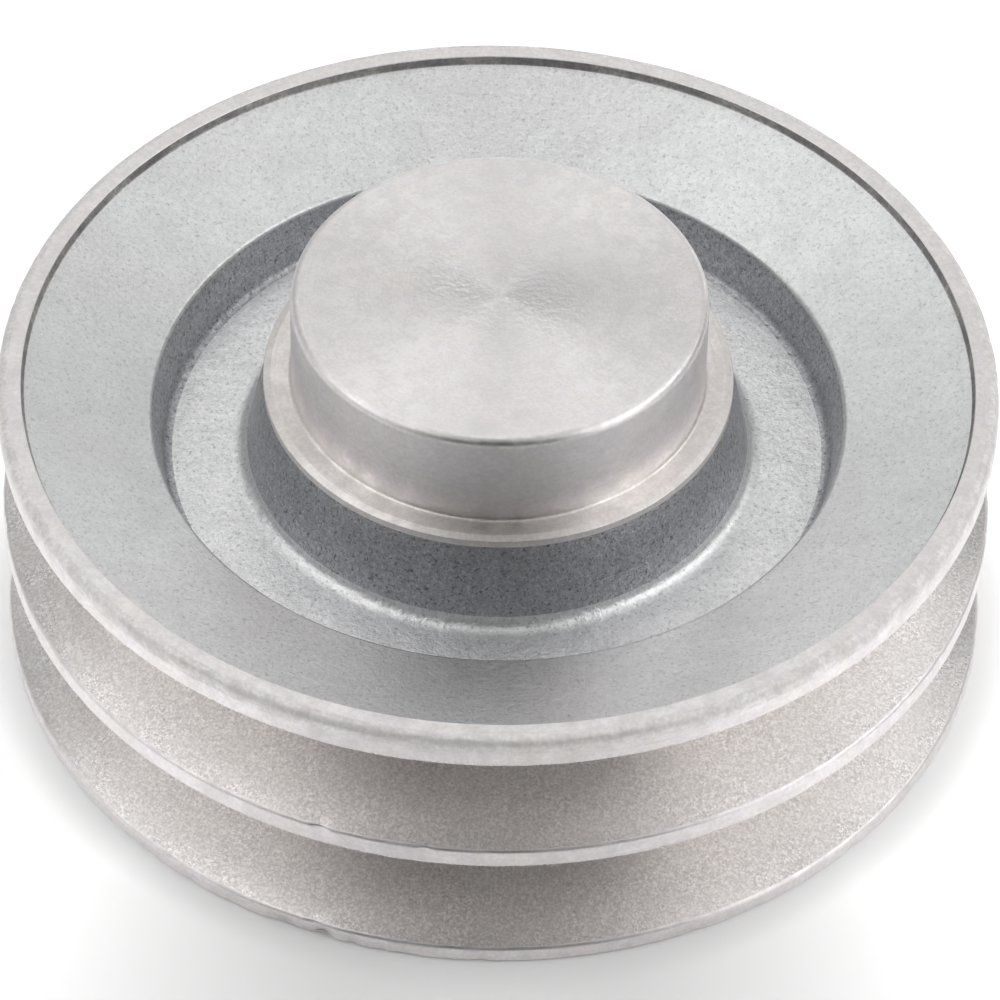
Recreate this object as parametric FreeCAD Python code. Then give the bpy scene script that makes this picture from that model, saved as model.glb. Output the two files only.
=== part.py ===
"""Two-groove V-belt idler pulley: a cast aluminium wheel that turns on a stub axle.

Frame: millimetres, +Z is the spin axis and points to the closed nose. The
origin is on the axis, in the plane of the rim's rear face, so the wheel stands
on z = 0. Each piece is written to parts/NAME.step.
"""
import FreeCAD, Part
import math
import os

Vector = FreeCAD.Vector

# ---------------------------------------------------------------------------
# Driving dimensions (mm)
# ---------------------------------------------------------------------------

# Belt grooves, classical B section (17 mm belt)
DATUM_DIAMETER = 125.0          # where the belt's cord line runs
DATUM_TO_RIM = 3.5              # rim stands this far outside the datum line
DATUM_WIDTH = 14.0              # groove width on the datum line
GROOVE_BELOW_DATUM = 10.8
GROOVE_ANGLE = 34.0             # between the two flanks
GROOVE_PITCH = 19.0
FRONT_GROOVE_INSET = 12.5       # front rim face to first groove's middle
REAR_GROOVE_INSET = 10.5        # last groove's middle to rear rim face
LAND_ROUND = 0.6                # rounded edges of the rim's lands
GROOVE_FLOOR_ROUND = 1.2
FRONT_RIM_ROUND = 1.3
REAR_RIM_ROUND = 0.5

# Rim faces and the dished walls inside them
LIP_INNER_RADIUS = 62.8         # turned lip runs from here to the rim
LIP_STEP = 1.1                  # lip stands this far above the cast dish
LIP_STEP_SLANT = 0.3            # the step leans inwards this far
LIP_EDGE_ROUND = 0.15
DISH_INNER_RADIUS = 45.9
DISH_DROP = 5.2                 # front dish falls this far towards the hub
RECESS_FLOOR_RADIUS = 44.2
WEB_FRONT_DEPTH = 13.4          # below the front rim face
WEB_THICKNESS = 7.6
REAR_LIP_INNER_RADIUS = 57.0
REAR_WALL = 4.2                 # wall between rear dish and groove flank
CAST_EDGE_ROUND = 0.8           # rounded edges that stay as cast
CAST_STEP_ROUND = 0.2
FRONT_RECESS_ROUND = 1.2        # where the recess floor meets its outer wall
REAR_RECESS_ROUND = 2.0

# Hub: bearing housing with a closed, turned nose
NOSE_RADIUS = 27.3
NOSE_HEIGHT = 13.9              # above the front rim face
NOSE_EDGE = 0.5
REGISTER_RADIUS = 31.0          # turned shoulder at the foot of the nose
REGISTER_BEVEL_WIDTH = 1.0
REGISTER_BEVEL_DROP = 0.3
REGISTER_SIDE = 1.0             # height of its turned side
REGISTER_FOOT_ROUND = 0.5       # left by the tool between nose and shoulder
CONE_BASE_RADIUS = 33.6
CONE_BASE_ROUND = 2.0
REAR_HUB_RADIUS = 31.2
REAR_HUB_BASE_RADIUS = 33.4
REAR_HUB_INSET = 0.6            # hub's rear face, inside the rim's rear plane
NOSE_CAVITY_RADIUS = 20.0
NOSE_CAVITY_ROUND = 2.0
NOSE_WALL = 5.4
HOUSING_LEAD = 1.0              # chamfer at the mouth of the bearing housing

# Bearings, 20 x 47 x 14 deep groove, rubber sealed both sides
BEARING_BORE = 20.0
BEARING_OUTSIDE = 47.0
BEARING_WIDTH = 14.0
BEARING_CORNER = 1.0
BALL_COUNT = 8
BALL_DIAMETER = 7.938
BALL_PITCH_DIAMETER = 33.5
RACE_CURVE_RADIUS = 4.13        # 52 % of the ball's diameter
RACE_CLEARANCE = 0.04
INNER_SHOULDER_RADIUS = 14.25
OUTER_SHOULDER_RADIUS = 19.35
SEAL_INNER_LAND_RADIUS = 13.8
SEAL_OUTER_LAND_RADIUS = 20.3
SEAL_BEAD_RADIUS = 20.7
SEAL_STEP = 5.6                 # from the bearing's middle to the seal's seat
SEAL_BEAD = 0.6                 # width of the groove that the seal snaps into
SEAL_PLAY = 0.1                 # from the ring's shoulder to the seal's back
SEAL_LIP_CLEARANCE = 0.05
SEAL_SINK = 0.2                 # seal's face below the ring's face
SEAL_DIP = 0.3                  # its middle lies this much deeper
SEAL_RIM_WIDTH = 0.65
SEAL_LIP_WIDTH = 0.8
SEAL_LIP_TAPER = 0.3
SEAL_ROUND = 0.2
RING_EDGE_ROUND = 0.15
RING_LAND_ROUND = 0.25

# Ball cage, two pressed ribbons riveted together
CAGE_SHEET = 0.8
CAGE_INNER_RADIUS = 15.55
CAGE_OUTER_RADIUS = 17.95
POCKET_RADIUS = 4.05
RIVET_RADIUS = 0.7
RIVET_HEAD_RADIUS = 1.15
RIVET_HEAD_HEIGHT = 0.5
RIVET_HEAD_ROUND = 0.25

# Axle, its nut and the stack along it
SPACER_WIDTH = 6.0
INNER_SPACER_OUTSIDE = 25.5
OUTER_SPACER_INSIDE = 41.0
REAR_BEARING_REAR_FACE = 4.0
AXLE_FLANGE_RADIUS = 14.0
AXLE_REAR_FACE = 0.5            # just inside the rim's rear plane
AXLE_THREAD_LENGTH = 9.0        # M20 x 1, ahead of the front bearing
AXLE_CHAMFER = 0.8
FLANGE_ROUND = 0.3
TAPPED_HOLE_RADIUS = 5.1        # core of an M12 thread
TAPPED_HOLE_MOUTH = 6.4
TAPPED_HOLE_DEPTH = 24.0
DRILL_POINT_DEPTH = 3.0
KEYWAY_WIDTH = 4.2
KEYWAY_FLOOR = 8.0              # from the axis to the keyway's flat
NUT_RADIUS = 16.0
NUT_HEIGHT = 6.0
NUT_CHAMFER = 1.2
NUT_REAR_CHAMFER = 0.4
NUT_SLOTS = 4
NUT_SLOT_WIDTH = 4.0
NUT_SLOT_DEPTH = 2.0
WASHER_THICKNESS = 1.0
WASHER_RING_RADIUS = 13.0
WASHER_TAB_RADIUS = 18.0
WASHER_TAB_WIDTH = 2.9
WASHER_TABS = 13                # flat ones and the one that is bent up
WASHER_KEY_PLAY = 0.1
BENT_TAB_PLAY = 0.3
BENT_TAB_REACH = 3.6            # up the side of the nut

# Retaining ring and dust shield at the rear
RING_THICKNESS = 1.75
RING_INNER_RADIUS = 20.35
RING_GROOVE_RADIUS = 24.75
RING_GROOVE_PLAY = 0.05
RING_LUG_RADIUS = 3.2
RING_LUG_AT = 21.3
RING_LUG_ANGLE = 11.0           # each lug, from the middle of the gap
RING_LUG_HOLE = 1.25
SHIELD_SHEET = 0.8
SHIELD_RADIUS = 22.6
SHIELD_JOGGLE_RADIUS = 17.6
SHIELD_JOGGLE = 0.4
SHIELD_SLOPE = 0.6              # length of the joggle's slope along the radius
SHIELD_EDGE_ROUND = 0.2
SHIELD_BEND_ROUND = 0.3
SHIELD_REAR_FACE = 0.9
SHIELD_COLLAR = 3.4             # top of the collar pressed on the axle

# ---------------------------------------------------------------------------
# Worked-out dimensions
# ---------------------------------------------------------------------------

RIM_RADIUS = DATUM_DIAMETER / 2 + DATUM_TO_RIM
GROOVE_FLOOR_RADIUS = DATUM_DIAMETER / 2 - GROOVE_BELOW_DATUM
FLANK_SLOPE = math.tan(math.radians(GROOVE_ANGLE / 2))
FACE_WIDTH = FRONT_GROOVE_INSET + GROOVE_PITCH + REAR_GROOVE_INSET
REAR_BEARING_MIDDLE = REAR_BEARING_REAR_FACE + BEARING_WIDTH / 2
SPACER_REAR = REAR_BEARING_REAR_FACE + BEARING_WIDTH
SPACER_FRONT = SPACER_REAR + SPACER_WIDTH
FRONT_BEARING_MIDDLE = SPACER_FRONT + BEARING_WIDTH / 2
HOUSING_SHOULDER = SPACER_FRONT + BEARING_WIDTH
BALL_RADIUS = BALL_DIAMETER / 2
PITCH_RADIUS = BALL_PITCH_DIAMETER / 2


# ---------------------------------------------------------------------------
# Helpers
# ---------------------------------------------------------------------------

def outline(corners):
    """Closed wire in the XZ plane through (r, z) or (r, z, rounding) corners."""
    count = len(corners)
    places = [Vector(corner[0], 0, corner[1]) for corner in corners]
    roundings = [corner[2] if len(corner) > 2 else 0.0 for corner in corners]
    starts, ends, arcs = [], [], []
    for i, place in enumerate(places):
        back = (places[i - 1] - place).normalize()
        ahead = (places[(i + 1) % count] - place).normalize()
        if roundings[i] == 0:
            starts.append(place)
            ends.append(place)
            arcs.append(None)
            continue
        half = back.getAngle(ahead) / 2
        reach = roundings[i] / math.tan(half)
        start = place + back * reach
        end = place + ahead * reach
        inward = (back + ahead).normalize()
        middle = place + inward * (roundings[i] / math.sin(half) - roundings[i])
        starts.append(start)
        ends.append(end)
        arcs.append(Part.Arc(start, middle, end).toShape())
    edges = []
    for i in range(count):
        if arcs[i]:
            edges.append(arcs[i])
        following = starts[(i + 1) % count]
        if ends[i].distanceToPoint(following) > 1e-6:
            edges.append(Part.LineSegment(ends[i], following).toShape())
    return Part.Wire(edges)


def turned(corners):
    """Solid of revolution about Z from a closed outline."""
    face = Part.Face(outline(corners))
    return face.revolve(Vector(0, 0, 0), Vector(0, 0, 1), 360)


def ring(inner, outer, low, high):
    """Plain ring or, with inner 0, a plain disc."""
    disc = Part.makeCylinder(outer, high - low, Vector(0, 0, low))
    if inner == 0:
        return disc
    return disc.cut(Part.makeCylinder(inner, high - low, Vector(0, 0, low)))


def block(low, high):
    """Box between two opposite corners."""
    size = [high[i] - low[i] for i in range(3)]
    return Part.makeBox(size[0], size[1], size[2], Vector(*low))


def turn(shape, degrees):
    """Copy of the shape, turned about Z."""
    copy = shape.copy()
    copy.rotate(Vector(0, 0, 0), Vector(0, 0, 1), degrees)
    return copy


def lifted(shape, height):
    """Copy of the shape, moved up along Z."""
    copy = shape.copy()
    copy.translate(Vector(0, 0, height))
    return copy


def write(name, shape):
    """Write one node."""
    shape.exportStep(os.path.join("parts", name + ".step"))


# ---------------------------------------------------------------------------
# Wheel
# ---------------------------------------------------------------------------

def groove_corners(middle):
    """The four outline corners of one belt groove, from front to rear."""
    half_top = DATUM_WIDTH / 2 + DATUM_TO_RIM * FLANK_SLOPE
    half_floor = DATUM_WIDTH / 2 - GROOVE_BELOW_DATUM * FLANK_SLOPE
    return [
        (RIM_RADIUS, middle + half_top, LAND_ROUND),
        (GROOVE_FLOOR_RADIUS, middle + half_floor, GROOVE_FLOOR_ROUND),
        (GROOVE_FLOOR_RADIUS, middle - half_floor, GROOVE_FLOOR_ROUND),
        (RIM_RADIUS, middle - half_top, LAND_ROUND),
    ]


def pulley_body():
    """Casting: two grooves, dished walls, web, housing and closed nose."""
    web_front = FACE_WIDTH - WEB_FRONT_DEPTH
    web_rear = web_front - WEB_THICKNESS
    dish_top = FACE_WIDTH - LIP_STEP
    front_groove = FACE_WIDTH - FRONT_GROOVE_INSET
    rear_groove = REAR_GROOVE_INSET
    rear_flank = rear_groove - DATUM_WIDTH / 2 - DATUM_TO_RIM * FLANK_SLOPE
    rear_dish_outer = rear_flank + (RIM_RADIUS - REAR_LIP_INNER_RADIUS) * FLANK_SLOPE - REAR_WALL
    rear_dish_inner = rear_flank + (RIM_RADIUS - DISH_INNER_RADIUS) * FLANK_SLOPE - REAR_WALL
    ring_groove_top = REAR_BEARING_REAR_FACE + RING_GROOVE_PLAY
    ring_groove_low = REAR_BEARING_REAR_FACE - RING_THICKNESS - RING_GROOVE_PLAY
    nose_top = FACE_WIDTH + NOSE_HEIGHT
    housing = BEARING_OUTSIDE / 2

    corners = [
        # nose and turned shoulder
        (0.0, nose_top),
        (NOSE_RADIUS, nose_top, NOSE_EDGE),
        (NOSE_RADIUS, FACE_WIDTH, REGISTER_FOOT_ROUND),
        (REGISTER_RADIUS - REGISTER_BEVEL_WIDTH, FACE_WIDTH),
        (REGISTER_RADIUS, FACE_WIDTH - REGISTER_BEVEL_DROP),
        (REGISTER_RADIUS, FACE_WIDTH - REGISTER_BEVEL_DROP - REGISTER_SIDE),
        # cast cone, recess floor and dish
        (CONE_BASE_RADIUS, web_front, CONE_BASE_ROUND),
        (RECESS_FLOOR_RADIUS, web_front, FRONT_RECESS_ROUND),
        (DISH_INNER_RADIUS, dish_top - DISH_DROP, CAST_EDGE_ROUND),
        (LIP_INNER_RADIUS - LIP_STEP_SLANT, dish_top, CAST_STEP_ROUND),
        (LIP_INNER_RADIUS, FACE_WIDTH, LIP_EDGE_ROUND),
        # front rim edge and the grooves
        (RIM_RADIUS, FACE_WIDTH, FRONT_RIM_ROUND),
    ]
    corners += groove_corners(front_groove)
    corners += groove_corners(rear_groove)
    corners += [
        # rear rim face, rear dish and web
        (RIM_RADIUS, 0.0, REAR_RIM_ROUND),
        (REAR_LIP_INNER_RADIUS, 0.0, CAST_STEP_ROUND),
        (REAR_LIP_INNER_RADIUS - LIP_STEP_SLANT, rear_dish_outer, CAST_STEP_ROUND),
        (DISH_INNER_RADIUS, rear_dish_inner, CAST_EDGE_ROUND),
        (RECESS_FLOOR_RADIUS, web_rear, REAR_RECESS_ROUND),
        (REAR_HUB_BASE_RADIUS, web_rear, REAR_RECESS_ROUND),
        (REAR_HUB_RADIUS, REAR_HUB_INSET, CAST_EDGE_ROUND),
        # housing bore, from its mouth up to the nose cavity
        (housing + HOUSING_LEAD, REAR_HUB_INSET),
        (housing, REAR_HUB_INSET + HOUSING_LEAD),
        (housing, ring_groove_low),
        (RING_GROOVE_RADIUS, ring_groove_low),
        (RING_GROOVE_RADIUS, ring_groove_top),
        (housing, ring_groove_top),
        (housing, HOUSING_SHOULDER),
        (NOSE_CAVITY_RADIUS, HOUSING_SHOULDER),
        (NOSE_CAVITY_RADIUS, nose_top - NOSE_WALL, NOSE_CAVITY_ROUND),
        (0.0, nose_top - NOSE_WALL),
    ]
    return turned(corners)


# ---------------------------------------------------------------------------
# Axle and what is clamped on it
# ---------------------------------------------------------------------------

def axle():
    """Stub axle: rear flange, journal, M20 nose thread, M12 tapped from behind."""
    journal = BEARING_BORE / 2
    front_end = HOUSING_SHOULDER + AXLE_THREAD_LENGTH
    hole_end = AXLE_REAR_FACE + TAPPED_HOLE_DEPTH
    mouth_depth = TAPPED_HOLE_MOUTH - TAPPED_HOLE_RADIUS
    shaft = turned([
        (0.0, front_end),
        (journal - AXLE_CHAMFER, front_end),
        (journal, front_end - AXLE_CHAMFER),
        (journal, REAR_BEARING_REAR_FACE),
        (AXLE_FLANGE_RADIUS, REAR_BEARING_REAR_FACE, FLANGE_ROUND),
        (AXLE_FLANGE_RADIUS, AXLE_REAR_FACE, FLANGE_ROUND),
        (TAPPED_HOLE_MOUTH, AXLE_REAR_FACE),
        (TAPPED_HOLE_RADIUS, AXLE_REAR_FACE + mouth_depth),
        (TAPPED_HOLE_RADIUS, hole_end),
        (0.0, hole_end + DRILL_POINT_DEPTH),
    ])
    half = KEYWAY_WIDTH / 2
    keyway = block((-half, KEYWAY_FLOOR, HOUSING_SHOULDER), (half, journal + 1, front_end + 1))
    return shaft.cut(keyway)


def lock_washer():
    """Tab washer: inner tab in the keyway, one outer tab bent into the nut."""
    low = HOUSING_SHOULDER
    high = low + WASHER_THICKNESS
    journal = BEARING_BORE / 2
    washer = ring(journal, WASHER_RING_RADIUS, low, high)
    half = WASHER_TAB_WIDTH / 2
    tab_root = WASHER_RING_RADIUS - half
    flat_tab = block((-half, tab_root, low), (half, WASHER_TAB_RADIUS, high))
    for i in range(1, WASHER_TABS):
        washer = washer.fuse(turn(flat_tab, 360 * i / WASHER_TABS))
    bend_root = NUT_RADIUS - NUT_SLOT_DEPTH + BENT_TAB_PLAY
    bend_back = bend_root + WASHER_THICKNESS
    washer = washer.fuse(block((-half, tab_root, low), (half, bend_back, high)))
    washer = washer.fuse(block((-half, bend_root, low), (half, bend_back, high + BENT_TAB_REACH)))
    key = KEYWAY_WIDTH / 2 - WASHER_KEY_PLAY
    washer = washer.fuse(block((-key, KEYWAY_FLOOR + WASHER_KEY_PLAY, low), (key, tab_root, high)))
    return washer.removeSplitter()


def lock_nut():
    """Slotted round nut, M20 x 1."""
    low = HOUSING_SHOULDER + WASHER_THICKNESS
    high = low + NUT_HEIGHT
    nut = turned([
        (BEARING_BORE / 2, low),
        (NUT_RADIUS - NUT_REAR_CHAMFER, low),
        (NUT_RADIUS, low + NUT_REAR_CHAMFER),
        (NUT_RADIUS, high - NUT_CHAMFER / 2),
        (NUT_RADIUS - NUT_CHAMFER, high),
        (BEARING_BORE / 2, high),
    ])
    half = NUT_SLOT_WIDTH / 2
    slot = block((-half, NUT_RADIUS - NUT_SLOT_DEPTH, low - 1), (half, NUT_RADIUS + 1, high + 1))
    for i in range(NUT_SLOTS):
        nut = nut.cut(turn(slot, 360 * i / NUT_SLOTS))
    return nut


def dust_shield():
    """Pressed steel disc whose collar grips the axle's flange."""
    rear = SHIELD_REAR_FACE
    inner_rear = rear + SHIELD_JOGGLE
    return turned([
        (AXLE_FLANGE_RADIUS, inner_rear, SHIELD_BEND_ROUND),
        (SHIELD_JOGGLE_RADIUS, inner_rear),
        (SHIELD_JOGGLE_RADIUS + SHIELD_SLOPE, rear),
        (SHIELD_RADIUS, rear, SHIELD_EDGE_ROUND),
        (SHIELD_RADIUS, rear + SHIELD_SHEET, SHIELD_EDGE_ROUND),
        (SHIELD_JOGGLE_RADIUS + SHIELD_SLOPE, rear + SHIELD_SHEET),
        (SHIELD_JOGGLE_RADIUS, inner_rear + SHIELD_SHEET),
        (AXLE_FLANGE_RADIUS + SHIELD_SHEET, inner_rear + SHIELD_SHEET, SHIELD_BEND_ROUND),
        (AXLE_FLANGE_RADIUS + SHIELD_SHEET, SHIELD_COLLAR),
        (AXLE_FLANGE_RADIUS, SHIELD_COLLAR),
    ])


# ---------------------------------------------------------------------------
# Retaining ring in the housing
# ---------------------------------------------------------------------------

def retaining_ring():
    """Open spring ring with a pliers hole in each lug."""
    high = REAR_BEARING_REAR_FACE
    low = high - RING_THICKNESS
    hoop = ring(RING_INNER_RADIUS, RING_GROOVE_RADIUS, low, high)
    lugs = []
    for side in (-1, 1):
        lug = Part.makeCylinder(RING_LUG_RADIUS, RING_THICKNESS, Vector(RING_LUG_AT, 0, low))
        lugs.append(turn(lug, side * RING_LUG_ANGLE))
    hoop = hoop.fuse(lugs)
    gap_width = math.radians(RING_LUG_ANGLE) * RING_LUG_AT
    hoop = hoop.cut(block((0, -gap_width / 2, low - 1), (RING_GROOVE_RADIUS + 1, gap_width / 2, high + 1)))
    for side in (-1, 1):
        hole = Part.makeCylinder(RING_LUG_HOLE, RING_THICKNESS + 2, Vector(RING_LUG_AT, 0, low - 1))
        hoop = hoop.cut(turn(hole, side * RING_LUG_ANGLE))
    return hoop.common(ring(0, RING_GROOVE_RADIUS, low, high))


# ---------------------------------------------------------------------------
# Ball bearing, drawn about z = 0
# ---------------------------------------------------------------------------

def race_cutter(centre_radius):
    """Torus that cuts a ball track."""
    return Part.makeTorus(centre_radius, RACE_CURVE_RADIUS)


def inner_ring():
    """Inner ring with its ball track and the seats of both seal lips."""
    half = BEARING_WIDTH / 2
    blank = turned([
        (BEARING_BORE / 2, -half, BEARING_CORNER),
        (SEAL_INNER_LAND_RADIUS, -half, RING_LAND_ROUND),
        (SEAL_INNER_LAND_RADIUS, -SEAL_STEP),
        (INNER_SHOULDER_RADIUS, -SEAL_STEP, RING_EDGE_ROUND),
        (INNER_SHOULDER_RADIUS, SEAL_STEP, RING_EDGE_ROUND),
        (SEAL_INNER_LAND_RADIUS, SEAL_STEP),
        (SEAL_INNER_LAND_RADIUS, half, RING_LAND_ROUND),
        (BEARING_BORE / 2, half, BEARING_CORNER),
    ])
    track_floor = PITCH_RADIUS - BALL_RADIUS - RACE_CLEARANCE
    return blank.cut(race_cutter(track_floor + RACE_CURVE_RADIUS))


def outer_ring():
    """Outer ring with its ball track and the groove of each seal."""
    half = BEARING_WIDTH / 2
    bead_top = SEAL_STEP + SEAL_BEAD
    blank = turned([
        (BEARING_OUTSIDE / 2, -half, BEARING_CORNER),
        (BEARING_OUTSIDE / 2, half, BEARING_CORNER),
        (SEAL_OUTER_LAND_RADIUS, half, RING_LAND_ROUND),
        (SEAL_OUTER_LAND_RADIUS, bead_top),
        (SEAL_BEAD_RADIUS, bead_top),
        (SEAL_BEAD_RADIUS, SEAL_STEP),
        (OUTER_SHOULDER_RADIUS, SEAL_STEP, RING_EDGE_ROUND),
        (OUTER_SHOULDER_RADIUS, -SEAL_STEP, RING_EDGE_ROUND),
        (SEAL_BEAD_RADIUS, -SEAL_STEP),
        (SEAL_BEAD_RADIUS, -bead_top),
        (SEAL_OUTER_LAND_RADIUS, -bead_top),
        (SEAL_OUTER_LAND_RADIUS, -half, RING_LAND_ROUND),
    ])
    track_floor = PITCH_RADIUS + BALL_RADIUS + RACE_CLEARANCE
    return blank.cut(race_cutter(track_floor - RACE_CURVE_RADIUS))


def seal(side):
    """Rubber seal snapped into the outer ring; its lip just clears the inner ring."""
    lip = SEAL_INNER_LAND_RADIUS + SEAL_LIP_CLEARANCE
    back = SEAL_STEP + SEAL_PLAY
    bead_top = SEAL_STEP + SEAL_BEAD
    face = BEARING_WIDTH / 2 - SEAL_SINK
    dip = face - SEAL_DIP
    corners = [
        (lip, back + SEAL_LIP_TAPER),
        (lip + SEAL_LIP_WIDTH, back),
        (SEAL_BEAD_RADIUS, back),
        (SEAL_BEAD_RADIUS, bead_top),
        (SEAL_OUTER_LAND_RADIUS, bead_top),
        (SEAL_OUTER_LAND_RADIUS, face),
        (SEAL_OUTER_LAND_RADIUS - SEAL_RIM_WIDTH, face, SEAL_ROUND),
        (SEAL_OUTER_LAND_RADIUS - 2 * SEAL_RIM_WIDTH, dip, SEAL_ROUND),
        (lip + 2 * SEAL_LIP_WIDTH, dip, SEAL_ROUND),
        (lip + SEAL_LIP_WIDTH, face, SEAL_ROUND),
        (lip, dip),
    ]
    if side < 0:
        corners = [(corner[0], -corner[1]) + corner[2:] for corner in corners]
    return turned(corners)


def ball_angle(index):
    """Degrees from +X to one ball."""
    return 360.0 * index / BALL_COUNT


def ball(index):
    """One ball at its place on the pitch circle."""
    return turn(Part.makeSphere(BALL_RADIUS, Vector(PITCH_RADIUS, 0, 0)), ball_angle(index))


def cage_half(side):
    """Pressed ribbon: flats between the balls, a cupped pocket over each ball."""
    reach = POCKET_RADIUS + CAGE_SHEET
    if side > 0:
        band = ring(CAGE_INNER_RADIUS, CAGE_OUTER_RADIUS, 0, reach)
        half = ring(CAGE_INNER_RADIUS, CAGE_OUTER_RADIUS, 0, CAGE_SHEET)
    else:
        band = ring(CAGE_INNER_RADIUS, CAGE_OUTER_RADIUS, -reach, 0)
        half = ring(CAGE_INNER_RADIUS, CAGE_OUTER_RADIUS, -CAGE_SHEET, 0)
    cup = Part.makeSphere(reach, Vector(PITCH_RADIUS, 0, 0)).common(band)
    hollow = Part.makeSphere(POCKET_RADIUS, Vector(PITCH_RADIUS, 0, 0))
    hole = Part.makeCylinder(RIVET_RADIUS, 2 * reach, Vector(PITCH_RADIUS, 0, -reach))
    for i in range(BALL_COUNT):
        half = half.fuse(turn(cup, ball_angle(i)))
    for i in range(BALL_COUNT):
        half = half.cut(turn(hollow, ball_angle(i)))
        half = half.cut(turn(hole, ball_angle(i + 0.5)))
    return half


def cage_rivets():
    """One rivet through both ribbons between each pair of balls."""
    grip = CAGE_SHEET
    head_top = grip + RIVET_HEAD_HEIGHT
    rivet = turned([
        (0.0, -head_top),
        (RIVET_HEAD_RADIUS, -head_top, RIVET_HEAD_ROUND),
        (RIVET_HEAD_RADIUS, -grip),
        (RIVET_RADIUS, -grip),
        (RIVET_RADIUS, grip),
        (RIVET_HEAD_RADIUS, grip),
        (RIVET_HEAD_RADIUS, head_top, RIVET_HEAD_ROUND),
        (0.0, head_top),
    ])
    rivet.translate(Vector(PITCH_RADIUS, 0, 0))
    return Part.makeCompound([turn(rivet, ball_angle(i + 0.5)) for i in range(BALL_COUNT)])


def write_bearing(place, middle):
    """Write every piece of one bearing; place is front or rear."""
    name = place + "_bearing_"
    write(name + "inner_ring", lifted(inner_ring(), middle))
    write(name + "outer_ring", lifted(outer_ring(), middle))
    write(name + "front_seal", lifted(seal(1), middle))
    write(name + "rear_seal", lifted(seal(-1), middle))
    write(name + "cage_front_half", lifted(cage_half(1), middle))
    write(name + "cage_rear_half", lifted(cage_half(-1), middle))
    write(name + "cage_rivets", lifted(cage_rivets(), middle))
    for i in range(BALL_COUNT):
        write(name + "ball_" + str(i + 1), lifted(ball(i), middle))


# ---------------------------------------------------------------------------
# Write every piece
# ---------------------------------------------------------------------------

def main():
    """Write the wheel, the axle group and both bearings."""
    os.makedirs("parts", exist_ok=True)
    write("pulley_body", pulley_body())
    write("axle", axle())
    write("lock_washer", lock_washer())
    write("lock_nut", lock_nut())
    write("dust_shield", dust_shield())
    write("retaining_ring", retaining_ring())
    write("inner_spacer", ring(BEARING_BORE / 2, INNER_SPACER_OUTSIDE / 2, SPACER_REAR, SPACER_FRONT))
    write("outer_spacer", ring(OUTER_SPACER_INSIDE / 2, BEARING_OUTSIDE / 2, SPACER_REAR, SPACER_FRONT))
    write_bearing("front", FRONT_BEARING_MIDDLE)
    write_bearing("rear", REAR_BEARING_MIDDLE)


main()
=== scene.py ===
"""Looks of the V-belt idler pulley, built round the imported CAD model.

Lengths are millimetres in the tables and metres in Blender, in the row frame:
+Z is the spin axis, towards the closed nose, and z = 0 is the rim's rear face.
"""
import math
import random
from collections import namedtuple

import bmesh
import bpy
import numpy as np
from mathutils import Matrix, Vector


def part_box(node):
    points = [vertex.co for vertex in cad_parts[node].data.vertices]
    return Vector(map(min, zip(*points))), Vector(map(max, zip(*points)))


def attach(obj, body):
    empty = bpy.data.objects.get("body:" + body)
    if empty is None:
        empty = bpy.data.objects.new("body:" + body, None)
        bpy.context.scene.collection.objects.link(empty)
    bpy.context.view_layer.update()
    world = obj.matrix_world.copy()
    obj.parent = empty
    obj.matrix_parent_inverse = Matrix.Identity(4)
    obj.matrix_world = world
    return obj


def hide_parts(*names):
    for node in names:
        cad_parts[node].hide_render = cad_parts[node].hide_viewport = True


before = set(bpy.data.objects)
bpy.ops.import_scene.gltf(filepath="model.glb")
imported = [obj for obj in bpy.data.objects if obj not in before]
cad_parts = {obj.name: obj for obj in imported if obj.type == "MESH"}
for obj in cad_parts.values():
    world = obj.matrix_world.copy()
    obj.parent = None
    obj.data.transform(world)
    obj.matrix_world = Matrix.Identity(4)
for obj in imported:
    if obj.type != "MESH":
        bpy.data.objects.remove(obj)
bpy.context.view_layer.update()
MM = 0.001

# ---------------------------------------------------------------------------
# Sizes (mm), the CAD model's own
# ---------------------------------------------------------------------------

BODY_LOW, BODY_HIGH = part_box("pulley_body")
RIM_RADIUS = min(BODY_HIGH.x, BODY_HIGH.y, -BODY_LOW.x, -BODY_LOW.y) / MM
NOSE_TOP = BODY_HIGH.z / MM

FACE_WIDTH = 42.0
DATUM_RADIUS = 62.5
DATUM_HALF_WIDTH = 7.0
GROOVE_FLOOR_RADIUS = 51.7
FLANK_SLOPE = math.tan(math.radians(17.0))
FRONT_GROOVE = 29.5             # height of the front groove's middle
REAR_GROOVE = 10.5
LAND_ROUND = 0.6
GROOVE_FLOOR_ROUND = 1.2
FRONT_RIM_ROUND = 1.3
REAR_RIM_ROUND = 0.5
NOSE_EDGE_ROUND = 1.1           # more than the CAD edge, and inside its box
NOSE_FOOT_ROUND = 0.5
REGISTER_EDGE_ROUND = 0.12
LIP_EDGE_ROUND = 0.15
LIP_EDGE_DEPTH = 1.95           # from the front face to where the land's own finish starts
CAST_STEP_ROUND = 0.2
CAST_EDGE_ROUND = 0.8
CAST_FOOT_ROUND = 2.0
RECESS_FOOT_ROUND = 1.2

NOSE_RADIUS = 27.3
REGISTER_RADIUS = 31.0
REGISTER_BEVEL = (30.0, 41.7)   # where the bevel starts, where it ends
REGISTER_FOOT = 40.7
CONE_BASE_RADIUS = 33.6
WEB_FRONT = 28.6
WEB_REAR = 21.0
RECESS_RADIUS = 44.2
DISH_INNER = (45.9, 35.7)
DISH_OUTER = (62.5, 40.9)
LIP_INNER = 62.8

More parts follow.
